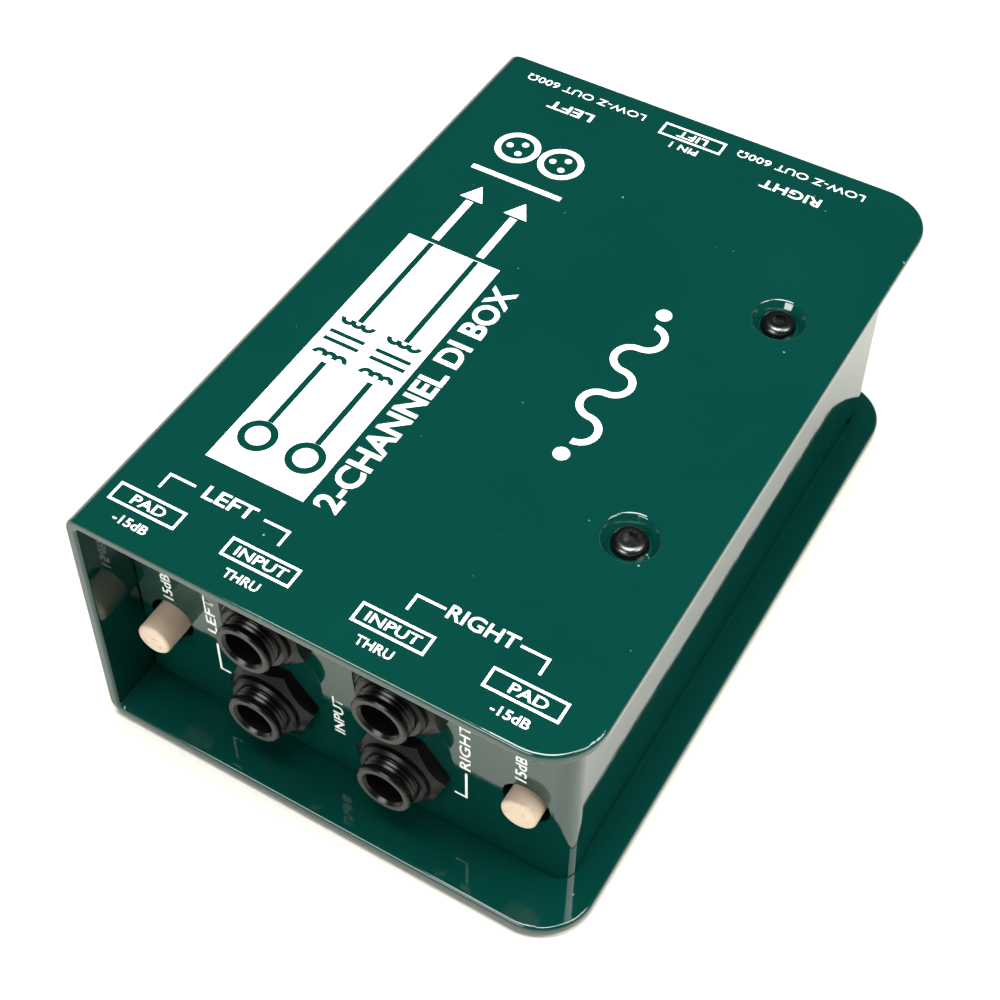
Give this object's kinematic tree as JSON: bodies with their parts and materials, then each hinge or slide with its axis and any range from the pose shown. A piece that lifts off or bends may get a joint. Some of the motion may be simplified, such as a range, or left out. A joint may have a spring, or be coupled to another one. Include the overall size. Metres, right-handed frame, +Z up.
{
  "type": "direct injection box",
  "caption": "Passive stereo direct injection box: bent-steel shell round a recessed chassis, stacked phone jacks, latching buttons and male three-pin outputs.",
  "frame": {"origin": "under the middle of the shell, on the surface that the base pad rests on", "axes": "+X to the right of someone facing the jacks, +Y towards the outputs, +Z up"},
  "size_m": [0.084, 0.127, 0.051],
  "materials": {
    "shell_enamel": "gloss enamel",
    "chassis_enamel": "gloss enamel",
    "printed_ink": "screen-printed ink",
    "pad_rubber": "fine grain",
    "black_screws": "black oxide",
    "connector_screws": "zinc plated",
    "zinc_hardware": "zinc plated",
    "jack_plastic": "semi-gloss",
    "nut_plastic": "semi-gloss",
    "contact_brass": "plated",
    "cap_plastic": "satin",
    "switch_plastic": "moulded",
    "spring_steel": "drawn wire",
    "tinned_pins": "tinned",
    "connector_nickel": "satin nickel",
    "insert_plastic": "moulded",
    "contact_silver": "silver plated",
    "board_laminate": "solder mask",
    "can_metal": "drawn nickel-iron",
    "core_steel": "laminated",
    "coil_copper": "enamelled wire",
    "resistor_coat": "lacquer",
    "capacitor_case": "moulded"
  },
  "bodies": {
    "case": {"outer_shell": "shell_enamel", "inner_chassis": "chassis_enamel", "base_pad": "pad_rubber", "case_screws_top": "black_screws", "case_screws_bottom": "black_screws", "xlr_screws": "connector_screws", "clinch_nuts": "zinc_hardware", "xlr_nuts": "zinc_hardware", "jack_body_left_input": "jack_plastic", "jack_body_left_thru": "jack_plastic", "jack_body_right_input": "jack_plastic", "jack_body_right_thru": "jack_plastic", "jack_nut_left_input": "nut_plastic", "jack_nut_left_thru": "nut_plastic", "jack_nut_right_input": "nut_plastic", "jack_nut_right_thru": "nut_plastic", "jack_contacts_left_input": "contact_brass", "jack_contacts_left_thru": "contact_brass", "jack_contacts_right_input": "contact_brass", "jack_contacts_right_thru": "contact_brass", "switch_body_pad_left": "switch_plastic", "switch_body_pad_right": "switch_plastic", "switch_body_lift": "switch_plastic", "switch_spring_pad_left": "spring_steel", "switch_spring_pad_right": "spring_steel", "switch_spring_lift": "spring_steel", "switch_pins_pad_left": "tinned_pins", "switch_pins_pad_right": "tinned_pins", "switch_pins_lift": "tinned_pins", "link_pins": "tinned_pins", "xlr_shell_left": "connector_nickel", "xlr_shell_right": "connector_nickel", "xlr_insert_left": "insert_plastic", "xlr_insert_right": "insert_plastic", "link_header": "insert_plastic", "xlr_contacts_left": "contact_silver", "xlr_contacts_right": "contact_silver", "main_board": "board_laminate", "rear_board": "board_laminate", "transformer_base_left": "insert_plastic", "transformer_can_left": "can_metal", "transformer_core_left": "core_steel", "transformer_coil_left": "coil_copper", "transformer_base_right": "insert_plastic", "transformer_can_right": "can_metal", "transformer_core_right": "core_steel", "transformer_coil_right": "coil_copper", "resistors": "resistor_coat", "capacitors": "capacitor_case"},
    "pad_left_button": {"button_cap_pad_left": "cap_plastic", "switch_stem_pad_left": "switch_plastic"},
    "pad_right_button": {"button_cap_pad_right": "cap_plastic", "switch_stem_pad_right": "switch_plastic"},
    "lift_button": {"button_cap_lift": "cap_plastic", "switch_stem_lift": "switch_plastic"}
  },
  "joints": [
    {"name": "pad_left_slide", "type": "slide", "parent": "case", "child": "pad_left_button", "axis": [0, 1, 0], "range_m": [0, 0.0025], "deforming": ["switch_spring_pad_left"]},
    {"name": "pad_right_slide", "type": "slide", "parent": "case", "child": "pad_right_button", "axis": [0, 1, 0], "range_m": [-0.0025, 0], "deforming": ["switch_spring_pad_right"]},
    {"name": "lift_slide", "type": "slide", "parent": "case", "child": "lift_button", "axis": [0, -1, 0], "range_m": [0, 0.0025], "deforming": ["switch_spring_lift"]}
  ]
}
